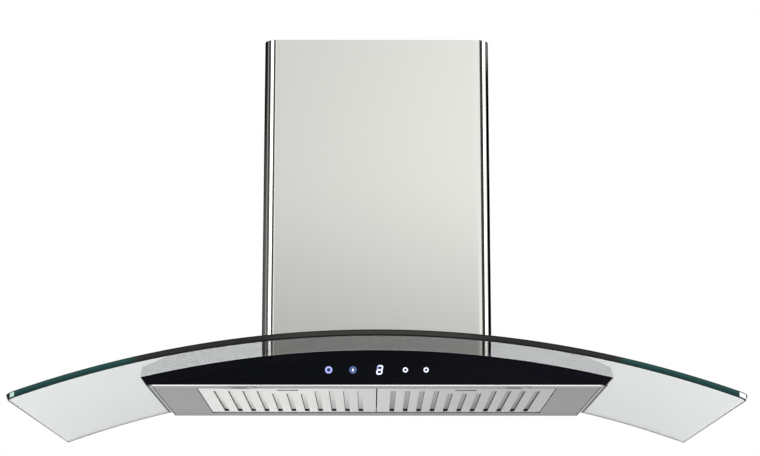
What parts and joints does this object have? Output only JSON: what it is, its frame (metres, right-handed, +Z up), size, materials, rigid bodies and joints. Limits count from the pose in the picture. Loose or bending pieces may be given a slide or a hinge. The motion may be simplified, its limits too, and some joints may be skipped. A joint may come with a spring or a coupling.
{
  "type": "curved glass range hood",
  "caption": "Wall-hung range hood with a curved glass canopy, black touch panel, tilting baffle filters, a fan and a telescopic duct cover.",
  "frame": {"origin": "on the wall plane, in the middle of the four wall fixings in the back of the motor box", "axes": "+X across to the right as seen from the front, +Y into the wall, +Z up"},
  "size_m": [0.9, 0.5, 0.5338],
  "materials": {
    "galvanised_steel": "galvanised sheet",
    "stainless_steel": "brushed",
    "hardware_steel": "zinc plated",
    "trim_aluminium": "satin",
    "lamp_chrome": "polished",
    "lens_plastic": "frosted",
    "clear_glass": "clear, polished edges",
    "black_glass": "gloss black, opaque",
    "seal_rubber": "matte",
    "dark_plastic": "moulded",
    "capacitor_plastic": "moulded",
    "circuit_board": "solder mask",
    "display_plastic": "smoked",
    "motor_casing": "pressed steel"
  },
  "bodies": {
    "hood": {"body_shell": "galvanised_steel", "motor_base_plate": "galvanised_steel", "motor_box": "galvanised_steel", "motor_box_lid": "galvanised_steel", "outlet_box": "galvanised_steel", "cover_clips": "galvanised_steel", "duct_cover_bracket": "galvanised_steel", "filter_rail": "galvanised_steel", "filter_catches": "galvanised_steel", "rear_sill": "galvanised_steel", "bottom_plate": "stainless_steel", "lower_duct_cover": "stainless_steel", "clamp_bolts": "hardware_steel", "clamp_nuts": "hardware_steel", "board_screws": "hardware_steel", "lid_screws": "hardware_steel", "motor_screws": "hardware_steel", "motor_bracket": "hardware_steel", "capacitor_clamp": "hardware_steel", "left_side_trim": "trim_aluminium", "right_side_trim": "trim_aluminium", "left_lamp_bezel": "lamp_chrome", "right_lamp_bezel": "lamp_chrome", "left_lamp_lens": "lens_plastic", "right_lamp_lens": "lens_plastic", "glass_canopy": "clear_glass", "panel_glass": "black_glass", "glass_seal_lower": "seal_rubber", "glass_seal_upper": "seal_rubber", "glass_bushes": "seal_rubber", "body_edge_seal": "seal_rubber", "touch_pads": "seal_rubber", "left_blower_half": "dark_plastic", "right_blower_half": "dark_plastic", "inlet_rings": "dark_plastic", "outlet_collar": "dark_plastic", "terminal_box": "dark_plastic", "terminal_lid": "dark_plastic", "cable_gland": "dark_plastic", "board_cover": "dark_plastic", "capacitor": "capacitor_plastic", "control_board": "circuit_board", "lamp_boards": "circuit_board", "display_module": "display_plastic", "blower_motor": "motor_casing"},
    "upper_cover": {"upper_duct_cover": "stainless_steel"},
    "fan_rotor": {"impeller": "dark_plastic", "motor_shaft": "hardware_steel"},
    "front_flap": {"front_damper_flap": "dark_plastic"},
    "rear_flap": {"rear_damper_flap": "dark_plastic"},
    "left_filter": {"left_filter_face": "stainless_steel", "left_filter_baffles": "stainless_steel", "left_filter_frame": "stainless_steel", "left_latch_spring": "hardware_steel"},
    "right_filter": {"right_filter_face": "stainless_steel", "right_filter_baffles": "stainless_steel", "right_filter_frame": "stainless_steel", "right_latch_spring": "hardware_steel"},
    "left_filter_latch": {"left_latch": "stainless_steel"},
    "right_filter_latch": {"right_latch": "stainless_steel"}
  },
  "joints": [
    {"name": "upper_cover_slide", "type": "slide", "parent": "hood", "child": "upper_cover", "axis": [0, 0, 1], "range_m": [0, 0.3]},
    {"name": "fan_spin", "type": "hinge", "parent": "hood", "child": "fan_rotor", "pos_m": [0, -0.11, 0], "axis": [1, 0, 0], "continuous": true},
    {"name": "front_flap_swing", "type": "hinge", "parent": "hood", "child": "front_flap", "pos_m": [0, -0.108, 0.142], "axis": [-1, 0, 0], "range_deg": [0, 75]},
    {"name": "rear_flap_swing", "type": "hinge", "parent": "hood", "child": "rear_flap", "pos_m": [0, -0.102, 0.142], "axis": [1, 0, 0], "range_deg": [0, 75]},
    {"name": "left_filter_swing", "type": "hinge", "parent": "hood", "child": "left_filter", "pos_m": [-0.11513, -0.0966, -0.16], "axis": [1, 0, 0], "range_deg": [0, 60]},
    {"name": "right_filter_swing", "type": "hinge", "parent": "hood", "child": "right_filter", "pos_m": [0.11513, -0.0966, -0.16], "axis": [1, 0, 0], "range_deg": [0, 60]},
    {"name": "left_latch_slide", "type": "slide", "parent": "left_filter", "child": "left_filter_latch", "axis": [0, 1, 0], "range_m": [0, 0.006], "stiffness_N_per_m": 400, "springref_m": -0.002, "deforming": ["left_latch_spring"]},
    {"name": "right_latch_slide", "type": "slide", "parent": "right_filter", "child": "right_filter_latch", "axis": [0, 1, 0], "range_m": [0, 0.006], "stiffness_N_per_m": 400, "springref_m": -0.002, "deforming": ["right_latch_spring"]}
  ]
}
